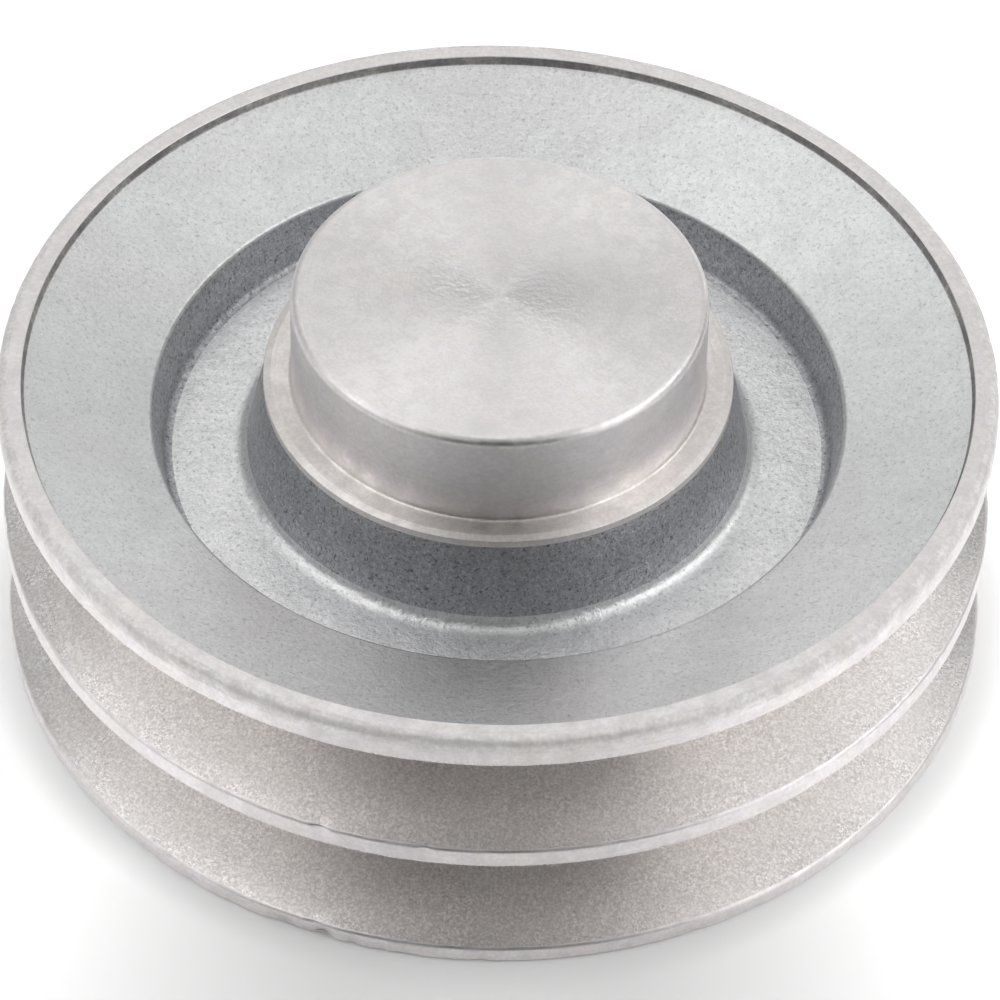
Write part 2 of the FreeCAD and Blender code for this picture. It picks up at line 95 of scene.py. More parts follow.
REAR_LIP_INNER = 57.0
REAR_DISH_OUTER = (56.7, 0.98)
REAR_DISH_INNER = (45.9, 4.37)
REAR_HUB_BASE = 33.4
REAR_HUB = (31.2, 0.6)
HOUSING = 23.5
HOUSING_LEAD = 1.0
RING_GROOVE = (24.75, 2.2, 4.05)    # radius, rear side, front side
HOUSING_SHOULDER = 38.0
CAVITY_RADIUS = 20.0
CAVITY_TOP = 50.5

AXLE_FLANGE = (14.0, 0.5, 4.0)  # radius, rear side, front side
FLANGE_ROUND = 0.3
AXLE_TIP = 0.8                  # chamfer at the front end
JOURNAL = 10.0
AXLE_END = 47.0
HOLE_MOUTH = 6.4
HOLE_CORE = 5.1
HOLE_END = 24.5
HOLE_POINT = 27.5
HOLE_THREAD = (1.75, 0.85)      # pitch, depth
HOLE_THREAD_START = 1.1         # mm from the rear face, where the thread begins to rise
NUT_THREAD = (1.0, 0.55)        # pitch, depth
KEYWAY_HALF = 2.1
KEYWAY_FLOOR = 8.0

HOLD = 0.1                      # rows this close to a corner keep its edge crisp
ARC_STEP = math.radians(14)     # a rounding's rows are about this far apart
SHARP_ANGLE = math.radians(38)  # edges that bend more than this are shaded sharp
ON_AXIS = 1e-6                  # rows nearer the axis than this close the surface
ON_WALL = 0.01                  # rows this near a radius lie on its wall
BODY_SEGMENTS = 720             # points round the axis
AXLE_SEGMENTS = 180

# ---------------------------------------------------------------------------
# Turned meshes with cast skin, nicks and threads worked into the geometry
# ---------------------------------------------------------------------------

# One outline corner. finish, step and cast hold for the run after the corner:
# its material, the distance between rows, and how far its skin wanders.
Corner = namedtuple("Corner", "r z rounding finish step cast")


def corner(r, z, finish, step=2.0, rounding=0.0, cast=0.0):
    """Corner with the usual values filled in."""
    return Corner(r, z, rounding, finish, step, cast)


def half_angle(back, ahead):
    """Half the angle between an outline's two directions away from a corner."""
    return math.acos(max(-1.0, min(1.0, back.dot(ahead)))) / 2


def arc_rows(place, back, ahead, rounding):
    """Points of the arc that rounds one corner."""
    half = half_angle(back, ahead)
    reach = rounding / math.tan(half)
    centre = place + (back + ahead).normalized() * (rounding / math.sin(half))
    start = place + back * reach - centre
    end = place + ahead * reach - centre
    sweep = math.pi - 2 * half
    steps = max(3, round(sweep / ARC_STEP))
    rows = []
    for i in range(steps + 1):
        share = i / steps
        low = math.sin((1 - share) * sweep) / math.sin(sweep)
        high = math.sin(share * sweep) / math.sin(sweep)
        rows.append(centre + start * low + end * high)
    return rows


def sample_outline(corners, closed):
    """Rows (r, z, finish, cast) along an outline of corners."""
    places = [Vector((c.r, c.z)) for c in corners]
    count = len(corners)
    rows = []
    for i, c in enumerate(corners):
        before, after = places[i - 1], places[(i + 1) % count]
        back = (before - places[i]).normalized()
        ahead = (after - places[i]).normalized()
        if c.rounding:
            points = arc_rows(places[i], back, ahead, c.rounding)
        else:
            points = [places[i]]
        rows += [(p.x, p.y, c.finish, c.cast) for p in points]
        if i == count - 1 and not closed:
            break
        following = corners[(i + 1) % count]
        gap = 0.0
        if following.rounding:
            beyond = (places[(i + 2) % count] - after).normalized()
            gap = following.rounding / math.tan(half_angle(-ahead, beyond))
        start, end = points[-1], after - ahead * gap
        length = (end - start).length
        steps = max(1, round(length / c.step))
        shares = [k / steps for k in range(1, steps)]
        if length > 4 * HOLD:
            shares = [HOLD / length] + shares + [1 - HOLD / length]
        for share in shares:
            p = start.lerp(end, share)
            rows.append((p.x, p.y, c.finish, c.cast))
    return rows


def lattice(i, j, k, seed):
    """Repeatable random number for each lattice point."""
    mixed = np.sin(i * 127.1 + j * 311.7 + k * 74.7 + seed * 19.19) * 43758.5453
    return mixed - np.floor(mixed)


def value_noise(x, y, z, size, seed):
    """Smooth noise between -1 and 1, with features about size mm across."""
    cells = [np.floor(v / size) for v in (x, y, z)]
    parts = [v / size - c for v, c in zip((x, y, z), cells)]
    eased = [p * p * (3 - 2 * p) for p in parts]
    total = 0
    for corner_index in range(8):
        steps = [(corner_index >> axis) & 1 for axis in range(3)]
        weight = 1
        for axis in range(3):
            weight = weight * (eased[axis] if steps[axis] else 1 - eased[axis])
        total = total + weight * lattice(*(c + s for c, s in zip(cells, steps)), seed)
    return 2 * total - 1


def cast_noise(x, y, z):
    """Uneven cast skin: broad swell, then finer lumps."""
    swell = value_noise(x, y, z, 9.0, 1)
    lumps = value_noise(x, y, z, 2.6, 2)
    grain = value_noise(x, y, z, 0.9, 3)
    return 0.5 * swell + 0.35 * lumps + 0.25 * grain


def turned_mesh(name, corners, segments, finishes, shape=None, closed=True):
    """Object turned from an outline; shape may move the rows of points about."""
    rows = sample_outline(corners, closed)
    r = np.array([row[0] for row in rows])
    z = np.array([row[1] for row in rows])
    cast = np.array([row[3] for row in rows])
    cast = np.convolve(np.pad(cast, 2, mode="edge"), np.ones(5) / 5, mode="valid")
    run = np.hypot(np.diff(r, append=r[0]), np.diff(z, append=z[0]))
    along_r = np.roll(r, -1) - np.roll(r, 1)
    along_z = np.roll(z, -1) - np.roll(z, 1)
    length = np.hypot(along_r, along_z)
    out_r, out_z = -along_z / length, along_r / length
    centre = r < ON_AXIS
    out_r[centre] = 0.0
    angle = np.arange(segments) * 2 * math.pi / segments
    grid_r = np.repeat(r[:, None], segments, 1)
    grid_z = np.repeat(z[:, None], segments, 1)
    x, y = grid_r * np.cos(angle), grid_r * np.sin(angle)
    push = cast[:, None] * cast_noise(x, y, grid_z) if cast.any() else np.zeros_like(grid_r)
    if shape:
        distance = np.concatenate([[0], np.cumsum(run)[:-1]])
        push = push + shape(r, z, distance, angle)
    grid_r = grid_r + push * out_r[:, None]
    grid_z = grid_z + push * out_z[:, None]
    grid_r[centre] = 0.0
    points = np.stack([grid_r * np.cos(angle), grid_r * np.sin(angle), grid_z], -1)
    return grid_object(name, points, [row[2] for row in rows], finishes, closed)


def grid_object(name, points, row_finish, finishes, closed):
    """Mesh from rows of points round the axis; a row on the axis is one point."""
    rows, segments = points.shape[:2]
    number = np.arange(rows * segments).reshape(rows, segments)
    faces, slots = [], []
    names = list(dict.fromkeys(row_finish))
    last = rows if closed else rows - 1
    for i in range(last):
        low, high = number[i], number[(i + 1) % rows]
        low_axis = abs(points[i, 0, :2]).max() < ON_AXIS
        high_axis = abs(points[(i + 1) % rows, 0, :2]).max() < ON_AXIS
        low_next, high_next = np.roll(low, -1), np.roll(high, -1)
        if low_axis and high_axis:
            continue
        if low_axis:
            strip = np.stack([np.full(segments, low[0]), high, high_next], 1)
        elif high_axis:
            strip = np.stack([low, np.full(segments, high[0]), low_next], 1)
        else:
            strip = np.stack([low, high, high_next, low_next], 1)
        faces += strip.tolist()
        slots += [names.index(row_finish[i])] * segments
    mesh = bpy.data.meshes.new(name)
    mesh.from_pydata((points.reshape(-1, 3) * MM).tolist(), [], faces)
    for finish_name in names:
        mesh.materials.append(finishes[finish_name])
    mesh.polygons.foreach_set("material_index", slots)
    mesh.polygons.foreach_set("use_smooth", [True] * len(faces))
    mesh.update()
    used = np.zeros(len(mesh.vertices), bool)
    used[np.concatenate([np.array(f) for f in faces])] = True
    if not used.all():
        drop_loose(mesh)
    mesh.set_sharp_from_angle(angle=SHARP_ANGLE)
    piece = bpy.data.objects.new(name, mesh)
    bpy.context.scene.collection.objects.link(piece)
    return piece


def drop_loose(mesh):
    """Delete points that no face uses."""
    work = bmesh.new()
    work.from_mesh(mesh)
    loose = [v for v in work.verts if not v.link_faces]
    bmesh.ops.delete(work, geom=loose, context="VERTS")
    work.to_mesh(mesh)
    work.free()


def wrapped(angle, centre):
    """Angle from centre, between -pi and pi."""
    return (angle - centre + math.pi) % (2 * math.pi) - math.pi


# Edges of the wheel that were knocked in handling: place on the outline (r, z),
# how far along the outline a nick reaches, nick count, widest half width, deepest nick.
Edge = namedtuple("Edge", "r z reach count width depth")
RIM = 66.0                      # the rim's nominal radius, for places on it
WORN_EDGES = [
    Edge(RIM, 41.2, 0.6, 60, 1.0, 0.15),
    Edge(RIM, 38.0, 0.4, 30, 0.8, 0.14),
    Edge(RIM, 21.1, 0.4, 36, 0.8, 0.18),
    Edge(RIM, 18.9, 0.4, 34, 0.8, 0.14),
    Edge(RIM, 2.4, 0.4, 26, 0.9, 0.16),
    Edge(RIM, 0.3, 0.6, 44, 1.4, 0.26),
    Edge(LIP_INNER, FACE_WIDTH, 0.3, 26, 0.8, 0.10),
    Edge(NOSE_RADIUS, 55.9, 0.25, 14, 0.7, 0.05),
    Edge(REGISTER_RADIUS, REGISTER_BEVEL[1], 0.3, 12, 0.7, 0.07),
]
KNOCK_SEED = 11                 # starts the random nicks
LEAST_FELT = 0.01               # share of a knock below which a row stays as it is
RAGGED_EDGES = 6                # the first of these, on the rim, are ragged all round
RAGGED_DEPTH = 0.035
RAGGED_SIZES = (1.0, 3.5)       # mm, fine and broad raggedness

# Single dents that stand out: place on the outline, how far along it they reach,
# degrees round from +X, half width, depth.
Dent = namedtuple("Dent", "r z reach degrees width depth")
DENTS = [
    Dent(RIM, 0.8, 1.1, -113.5, 2.0, 0.65),
    Dent(RIM, 0.7, 1.2, -109.0, 1.4, 0.85),
    Dent(RIM, 0.9, 0.8, -105.5, 0.9, 0.50),
    Dent(RIM, 0.9, 0.6, -111.0, 0.5, 0.40),
    Dent(RIM, 0.7, 0.7, -102.0, 0.7, 0.30),
    Dent(RIM, 0.6, 0.6, -120.0, 0.8, 0.22),
    Dent(RIM, 0.6, 0.6, -126.0, 0.7, 0.18),
    Dent(RIM, 41.2, 0.5, -98.0, 0.8, 0.24),
    Dent(RIM, 41.3, 0.5, -93.5, 0.9, 0.14),
    Dent(RIM, 41.2, 0.5, -89.0, 0.6, 0.22),
    Dent(RIM, 40.6, 1.1, -38.0, 1.4, 0.35),
    Dent(RIM, 21.0, 0.6, -109.0, 0.7, 0.40),
    Dent(RIM, 21.0, 0.5, -97.0, 0.5, 0.30),
    Dent(RIM, 40.8, 1.2, -122.0, 1.8, 0.16),
]


def near_edge(r, z, distance, place):
    """How much of a knock at one place each row feels, and the rows that feel any."""
    nearest = np.argmin(np.hypot(r - place.r, z - place.z))
    profile = np.exp(-((distance - distance[nearest]) / place.reach) ** 2)
    return profile, np.nonzero(profile > LEAST_FELT)[0]


def wear(r, z, distance, angle):
    """Inward push (mm) of every point by the nicks and dents of the edges."""
    rng = random.Random(KNOCK_SEED)
    push = np.zeros((len(r), len(angle)))
    knocks = list(DENTS)
    for edge in WORN_EDGES:
        for _ in range(edge.count):
            width = edge.width * (0.3 + 0.7 * rng.random())
            depth = edge.depth * rng.random() ** 2
            knocks.append(Dent(edge.r, edge.z, edge.reach, rng.uniform(0, 360), width, depth))
    for knock in knocks:
        profile, rows = near_edge(r, z, distance, knock)
        across = wrapped(angle, math.radians(knock.degrees)) * knock.r / knock.width
        round_axis = np.exp(-across ** 2 * (1 + 0.25 * np.sin(9 * across + knock.degrees)))
        push[rows] -= knock.depth * profile[rows, None] * round_axis[None, :]
    x = RIM * np.cos(angle)
    y = RIM * np.sin(angle)
    fine, broad = RAGGED_SIZES
    for edge in WORN_EDGES[:RAGGED_EDGES]:
        profile, rows = near_edge(r, z, distance, edge)
        ragged = value_noise(x, y, edge.z, fine, 5) + 0.7 * value_noise(x, y, edge.z, broad, 6)
        bite = np.clip(ragged + 0.4, 0, None)
        push[rows] -= RAGGED_DEPTH * profile[rows, None] * bite[None, :]
    return push


def groove_corners(middle):
    """One belt groove, from the land before it to the land behind it."""
    half_top = DATUM_HALF_WIDTH + (RIM_RADIUS - DATUM_RADIUS) * FLANK_SLOPE
    half_floor = DATUM_HALF_WIDTH - (DATUM_RADIUS - GROOVE_FLOOR_RADIUS) * FLANK_SLOPE
    return [
        corner(RIM_RADIUS, middle + half_top, "groove", 1.3, LAND_ROUND),
        corner(GROOVE_FLOOR_RADIUS, middle + half_floor, "groove", 1.6, GROOVE_FLOOR_ROUND),
        corner(GROOVE_FLOOR_RADIUS, middle - half_floor, "groove", 1.3, GROOVE_FLOOR_ROUND),
        corner(RIM_RADIUS, middle - half_top, "land", 0.9, LAND_ROUND),
    ]


def casting_corners():
    """Outline of the wheel casting, from the nose round the rim to the bore."""
    corners = [
        corner(0.0, NOSE_TOP, "nose_face", 3.0),
        corner(NOSE_RADIUS, NOSE_TOP, "nose_wall", 2.4, NOSE_EDGE_ROUND),
        corner(NOSE_RADIUS, FACE_WIDTH, "register", 0.8, NOSE_FOOT_ROUND),
        corner(REGISTER_BEVEL[0], FACE_WIDTH, "register", 0.6),
        corner(REGISTER_RADIUS, REGISTER_BEVEL[1], "register", 0.4, REGISTER_EDGE_ROUND),
        corner(REGISTER_RADIUS, REGISTER_FOOT, "cone", 0.7, 0.0, 0.07),
        corner(CONE_BASE_RADIUS, WEB_FRONT, "recess_floor", 0.6, CAST_FOOT_ROUND, 0.10),
        corner(RECESS_RADIUS, WEB_FRONT, "recess_wall", 0.6, RECESS_FOOT_ROUND, 0.10),
        corner(*DISH_INNER, "dish", 1.0, CAST_EDGE_ROUND, 0.035),
        corner(*DISH_OUTER, "lip_step_painted_shade", 0.4, CAST_STEP_ROUND, 0.05),
        corner(LIP_INNER, FACE_WIDTH, "lip", 0.6, LIP_EDGE_ROUND),
        corner(RIM_RADIUS, FACE_WIDTH, "lip_edge", 0.7, FRONT_RIM_ROUND),
        corner(RIM_RADIUS, FACE_WIDTH - LIP_EDGE_DEPTH, "land", 0.7),
    ]
    corners += groove_corners(FRONT_GROOVE)
    corners += groove_corners(REAR_GROOVE)
    corners += [
        corner(RIM_RADIUS, 0.0, "lip", 1.6, REAR_RIM_ROUND),
        corner(REAR_LIP_INNER, 0.0, "lip_step_painted_shade", 0.4, CAST_STEP_ROUND),
        corner(*REAR_DISH_OUTER, "dish", 1.2, CAST_STEP_ROUND, 0.05),
        corner(*REAR_DISH_INNER, "recess_wall", 1.2, CAST_EDGE_ROUND, 0.08),
        corner(RECESS_RADIUS, WEB_REAR, "recess_floor", 1.2, CAST_FOOT_ROUND, 0.10),
        corner(REAR_HUB_BASE, WEB_REAR, "cone", 1.2, CAST_FOOT_ROUND, 0.08),
        corner(*REAR_HUB, "register", 1.6, CAST_EDGE_ROUND),
        corner(HOUSING + HOUSING_LEAD, REAR_HUB[1], "bore", 1.0),
        corner(HOUSING, REAR_HUB[1] + HOUSING_LEAD, "bore", 1.0),
        corner(HOUSING, RING_GROOVE[1], "bore", 1.5),
        corner(RING_GROOVE[0], RING_GROOVE[1], "bore", 1.5),
        corner(RING_GROOVE[0], RING_GROOVE[2], "bore", 1.5),
        corner(HOUSING, RING_GROOVE[2], "bore", 6.0),
        corner(HOUSING, HOUSING_SHOULDER, "bore", 3.0),
        corner(CAVITY_RADIUS, HOUSING_SHOULDER, "bore", 3.0),
        corner(CAVITY_RADIUS, CAVITY_TOP, "bore", 5.0, CAST_FOOT_ROUND),
        corner(0.0, CAVITY_TOP, "bore", 5.0),
    ]
    return corners


def thread_push(z, angle, low, high, pitch, depth):
    """Triangular thread of a screw, cut inwards, fading at both ends."""
    turn = (z[:, None] - angle[None, :] / (2 * math.pi) * pitch) / pitch
    ridge = np.abs(2 * (turn - np.floor(turn)) - 1)
    fade = np.clip((z - low) / pitch, 0, 1) * np.clip((high - z) / pitch, 0, 1)
    return -depth * ridge * fade[:, None]


def axle_shape(r, z, distance, angle):
    """Threads of the axle: M12 in its hole, M20 x 1 for its nut."""
    push = np.zeros((len(r), len(angle)))
    hole = (np.abs(r - HOLE_CORE) < ON_WALL) & (z < HOLE_END)
    push[hole] = thread_push(z[hole], angle, HOLE_THREAD_START, HOLE_END, *HOLE_THREAD)
    thread = (np.abs(r - JOURNAL) < ON_WALL) & (z > HOUSING_SHOULDER)
    push[thread] = thread_push(z[thread], angle, HOUSING_SHOULDER, AXLE_END, *NUT_THREAD)
    return push


def axle_corners():
    """Outline of the stub axle, from its front end round to its tapped hole."""
    chamfer = HOLE_MOUTH - HOLE_CORE
    return [
        corner(0.0, AXLE_END, "axle_face", 2.0),
        corner(JOURNAL - AXLE_TIP, AXLE_END, "axle_thread", 0.5),
        corner(JOURNAL, AXLE_END - AXLE_TIP, "axle_thread", 0.14),
        corner(JOURNAL, HOUSING_SHOULDER, "axle_journal", 6.0),
        corner(JOURNAL, AXLE_FLANGE[2], "axle_face", 1.5),
        corner(AXLE_FLANGE[0], AXLE_FLANGE[2], "axle_journal", 1.0, FLANGE_ROUND),
        corner(AXLE_FLANGE[0], AXLE_FLANGE[1], "axle_face", 0.8, FLANGE_ROUND),
        corner(HOLE_MOUTH, AXLE_FLANGE[1], "axle_thread", 0.4),
        corner(HOLE_CORE, AXLE_FLANGE[1] + chamfer, "axle_thread", 0.2),
        corner(HOLE_CORE, HOLE_END, "axle_thread", 1.5),
        corner(0.0, HOLE_POINT, "axle_thread", 1.5),
    ]


# ---------------------------------------------------------------------------
# Materials
# ---------------------------------------------------------------------------

OTHER_PLACE = (370.0, 110.0, 50.0)  # mm, takes a second pattern from elsewhere in a noise


class Finish:
    """Principled material with patterns drawn in millimetres of the row frame."""

    def __init__(self, name, **constants):
        self.material = bpy.data.materials.new(name)
        self.material.use_nodes = True
        self.tree = self.material.node_tree
        self.tree.nodes.clear()
        self.shader = self.node("ShaderNodeBsdfPrincipled")
        output = self.node("ShaderNodeOutputMaterial")
        self.tree.links.new(self.shader.outputs["BSDF"], output.inputs["Surface"])
        for socket, value in constants.items():
            self.shader.inputs[socket.replace("_", " ").title()].default_value = value
        place = self.node("ShaderNodeTexCoord").outputs["Object"]
        scaled = self.node("ShaderNodeVectorMath", operation="SCALE")
        self.set(scaled.inputs[0], place)
        self.set(scaled.inputs["Scale"], 1 / MM)
        self.place = scaled.outputs[0]
        split = self.node("ShaderNodeSeparateXYZ")
        self.set(split.inputs[0], self.place)
        self.x, self.y, self.z = split.outputs
        moved = self.node("ShaderNodeVectorMath", operation="ADD")
        self.set(moved.inputs[0], self.place)
        moved.inputs[1].default_value = OTHER_PLACE
        self.shifted = moved.outputs[0]
        self.radius = self.math("SQRT", self.math("ADD", self.math("MULTIPLY", self.x, self.x),
                                                  self.math("MULTIPLY", self.y, self.y)))

    def node(self, kind, **settings):
        """New node with its settings."""
        made = self.tree.nodes.new(kind)
        for setting, value in settings.items():
            setattr(made, setting, value)
        return made

    def set(self, socket, value):
        """Link or fill one input."""
        if isinstance(value, bpy.types.NodeSocket):
            self.tree.links.new(value, socket)
        else:
            socket.default_value = value

    def math(self, operation, a, b=0.0):
        """Math node's output."""
        made = self.node("ShaderNodeMath", operation=operation)
        self.set(made.inputs[0], a)
        self.set(made.inputs[1], b)
        return made.outputs[0]

    def remap(self, value, low, high, to_low=0.0, to_high=1.0):
        """Value stretched from one range to another and held inside it."""
        made = self.node("ShaderNodeMapRange", clamp=True)
        for socket, amount in zip(made.inputs, (value, low, high, to_low, to_high)):
            self.set(socket, amount)
        return made.outputs[0]

    def noise(self, size, detail=2.0, roughness=0.5, place=None):
        """Noise with features about size mm across."""
        made = self.node("ShaderNodeTexNoise")
        self.set(made.inputs["Vector"], place or self.place)
        self.set(made.inputs["Scale"], 1.0 / size)
        self.set(made.inputs["Detail"], detail)
        self.set(made.inputs["Roughness"], roughness)
        return made.outputs["Fac"]

    def lines(self, along, size, detail=3.0, wander=0.0):
        """Noise that changes only along one value, such as tool marks along a radius."""
        if wander:
            along = self.math("ADD", along, self.math("MULTIPLY", self.noise(14.0, 1.0), wander))
        made = self.node("ShaderNodeTexNoise", noise_dimensions="1D")
        self.set(made.inputs["W"], along)
        self.set(made.inputs["Scale"], 1.0 / size)
        self.set(made.inputs["Detail"], detail)
        self.set(made.inputs["Roughness"], 0.6)
        return made.outputs["Fac"]

    def streaks(self, along, size, length):
        """Short scratches that run round the axis, about length mm long."""
        over = self.math("DIVIDE", along, size)
        cosine = self.math("DIVIDE", self.math("DIVIDE", self.x, self.radius), length / 30.0)
        sine = self.math("DIVIDE", self.math("DIVIDE", self.y, self.radius), length / 30.0)
        joined = self.node("ShaderNodeCombineXYZ")
        for socket, value in zip(joined.inputs, (cosine, sine, over)):
            self.set(socket, value)
        return self.noise(1.0, 2.0, 0.5, joined.outputs[0])

    def mix(self, factor, low, high):
        """Colour between low and high."""
        made = self.node("ShaderNodeMix", data_type="RGBA")
        self.set(made.inputs["Factor"], factor)
        for socket, value in ((made.inputs[6], low), (made.inputs[7], high)):
            self.set(socket, value if isinstance(value, bpy.types.NodeSocket) else (*value, 1.0))
        return made.outputs[2]

    def bumps(self, *layers):
        """Chain of bump layers, each a height and how many mm it stands."""
        normal = None
        for height, stand in layers:
            made = self.node("ShaderNodeBump")
            self.set(made.inputs["Height"], height)
            self.set(made.inputs["Distance"], stand * MM)
            if normal:
                self.set(made.inputs["Normal"], normal)
            normal = made.outputs[0]
        self.set(self.shader.inputs["Normal"], normal)

    def colour(self, value):
        """Base colour."""
        self.set(self.shader.inputs["Base Color"], value)

    def roughness(self, value):
        """Roughness."""
        self.set(self.shader.inputs["Roughness"], value)

    def turned_tangent(self):
        """Direction of tool marks that run round the axis."""
        made = self.node("ShaderNodeTangent", direction_type="RADIAL", axis="Z")
        self.set(self.shader.inputs["Tangent"], made.outputs[0])


QUARTER_TURN = 0.25             # gloss stretched across the tool marks, not along them
CAST_LIGHT = (0.90, 0.905, 0.905)
CAST_WARM = (0.88, 0.85, 0.85)
CAST_DARK = (0.55, 0.555, 0.56)
CAST_BLUE = (0.73, 0.735, 0.76)
CAST_BLUE_DARK = (0.33, 0.335, 0.355)
CONE_WARM = (0.60, 0.60, 0.62)
WALL_WARM = (0.58, 0.58, 0.60)
WEB_LIGHT = (0.96, 0.96, 0.96)
TURNED_LIGHT = (0.94, 0.905, 0.91)
TURNED_DARK = (0.74, 0.71, 0.715)
LIP_EDGE_LIGHT = (0.99, 0.965, 0.965)
# painted shade: the small steps between the lips and the dishes are coloured dark to stand for the shade in
# that crease
STEP_PAINTED_SHADE_LIGHT = (0.45, 0.44, 0.44)
STEP_PAINTED_SHADE_DARK = (0.22, 0.21, 0.21)
BORE_LIGHT = (0.82, 0.81, 0.80)
BORE_DARK = (0.62, 0.61, 0.60)
CREAM = (0.90, 0.875, 0.82)
# tone of scratches and of the nose's rough middle, and also of the painted dark reflection fan on the nose
SCRATCH_AND_PAINTED_FAN = (0.60, 0.58, 0.585)
LEDGE_LIGHT = (0.96, 0.92, 0.895)
LEDGE_DARK = (0.72, 0.69, 0.665)


def cast_finish(name, light, dark, warm, roughness, grain, pits, relief):
    """As-cast, blasted aluminium skin: fine grain, dark pits and a rough relief (mm)."""
    f = Finish(name, metallic=1.0)
    fine = f.noise(0.30, 2.0, 0.6)
    coarse = f.noise(0.75, 3.0, 0.6)
    mottle = f.remap(f.noise(6.0, 4.0, 0.6), 0.35, 0.70)
    patches = f.remap(f.noise(24.0, 3.0, 0.55), 0.50, 0.68)
    specks = f.remap(f.noise(0.50, 2.0, 0.6), 0.58, 0.68)
    tone = f.mix(f.math("MULTIPLY", mottle, 0.25), light, dark)
    tone = f.mix(f.math("MULTIPLY", patches, 0.5), tone, warm)
    tone = f.mix(f.math("MULTIPLY", f.remap(fine, 0.36, 0.64), grain), tone, dark)
    tone = f.mix(f.math("MULTIPLY", f.remap(coarse, 0.42, 0.64), 0.7 * grain), tone, dark)
    f.colour(f.mix(f.math("MULTIPLY", specks, pits), tone, tuple(0.5 * c for c in dark)))
    f.roughness(f.remap(coarse, 0.3, 0.7, roughness - 0.06, roughness + 0.06))
    f.bumps((fine, 0.5 * relief), (coarse, relief), (f.noise(2.2, 2.0, 0.5), 0.8 * relief))
    return f.material


def machined_tone(f, rings, broad, smudge, grain, light=TURNED_LIGHT, dark=TURNED_DARK):
    """Colour of a turned surface: tool marks, cream smudges and fine grain."""
    tone = f.mix(f.math("MULTIPLY", f.remap(rings, 0.3, 0.7), 0.20), light, dark)
    tone = f.mix(f.math("MULTIPLY", f.remap(broad, 0.42, 0.60), 0.42), tone, dark)
    tone = f.mix(f.math("MULTIPLY", smudge, 0.55), tone, CREAM)
    return f.mix(f.math("MULTIPLY", f.remap(grain, 0.40, 0.60), 0.50), tone, dark)


NOSE_PAINTED_FAN_ANGLE = math.radians(28.0)   # middle of the painted dark reflection fan, round from +X
NOSE_PAINTED_FAN_REACH = (3.0, 22.0)    # mm from the axis, from where it fades to where it ends
NOSE_ROUGH_REACH = (4.0, 13.0)  # the same for the rough spot in the middle
BURNISHED = (0.99, 0.965, 0.96)


def nose_finish(name):
    """Face of the nose: faint rings, burnished patches, a painted dark reflection fan and a rough spot in
    the middle.
    """
    f = Finish(name, metallic=1.0, anisotropic=0.75, anisotropic_rotation=QUARTER_TURN)
    rings = f.lines(f.radius, 0.35, 3.0, 0.25)
    broad = f.noise(3.2, 5.0, 0.7)
    smudge = f.remap(f.noise(6.0, 5.0, 0.65), 0.50, 0.62)
    grain = f.noise(0.45, 3.0, 0.65)
    tone = machined_tone(f, rings, broad, smudge, grain)
    worn = f.remap(f.noise(3.0, 5.0, 0.7, f.shifted), 0.50, 0.60)
    tone = f.mix(f.math("MULTIPLY", worn, 0.50), tone, BURNISHED)
    # painted reflection: a dark fan to the right of the axis, where the turned face's stretched gloss would
    # be dark
    painted_fan_fade = f.remap(f.radius, *NOSE_PAINTED_FAN_REACH, 1.0, 0.0)
    across = f.math("ADD", f.math("MULTIPLY", f.x, math.cos(NOSE_PAINTED_FAN_ANGLE)),
                    f.math("MULTIPLY", f.y, math.sin(NOSE_PAINTED_FAN_ANGLE)))
    lean = f.math("DIVIDE", across, f.math("ADD", f.radius, 1.0))
    painted_fan = f.math("MULTIPLY", f.remap(lean, 0.35, 1.0), painted_fan_fade)
    tone = f.mix(f.math("MULTIPLY", painted_fan, 0.80), tone, SCRATCH_AND_PAINTED_FAN)
    middle = f.remap(f.radius, *NOSE_ROUGH_REACH, 1.0, 0.15)
    f.colour(f.mix(f.math("MULTIPLY", middle, 0.40), tone, SCRATCH_AND_PAINTED_FAN))
    f.roughness(f.remap(worn, 0.0, 1.0, 0.30, 0.42))
    dimples = f.math("MULTIPLY", f.noise(0.9, 2.0, 0.5), middle)
    f.bumps((rings, 0.008), (grain, 0.010), (dimples, 0.07))
    f.turned_tangent()
    return f.material


def face_finish(name, roughness, anisotropy, marks, light=TURNED_LIGHT, dark=TURNED_DARK):
    """Face turned flat: rings of tool marks along the radius."""
    f = Finish(name, metallic=1.0, anisotropic=anisotropy, anisotropic_rotation=QUARTER_TURN)
    rings = f.lines(f.radius, 0.30, 3.0, 0.15)
    broad = f.noise(3.5, 5.0, 0.7)
    scratches = f.remap(f.streaks(f.radius, 0.22, 7.0), 0.58, 0.74)
    grain = f.noise(0.55, 3.0, 0.65)
    smudge = f.remap(f.noise(10.0, 4.0, 0.6), 0.46, 0.66)
    tone = machined_tone(f, rings, broad, smudge, grain, light, dark)
    f.colour(f.mix(f.math("MULTIPLY", scratches, 0.25), tone, SCRATCH_AND_PAINTED_FAN))
    f.roughness(f.remap(broad, 0.38, 0.62, roughness - 0.04, roughness + 0.12))
    f.bumps((rings, marks), (grain, 1.6 * marks))
    f.turned_tangent()
    return f.material


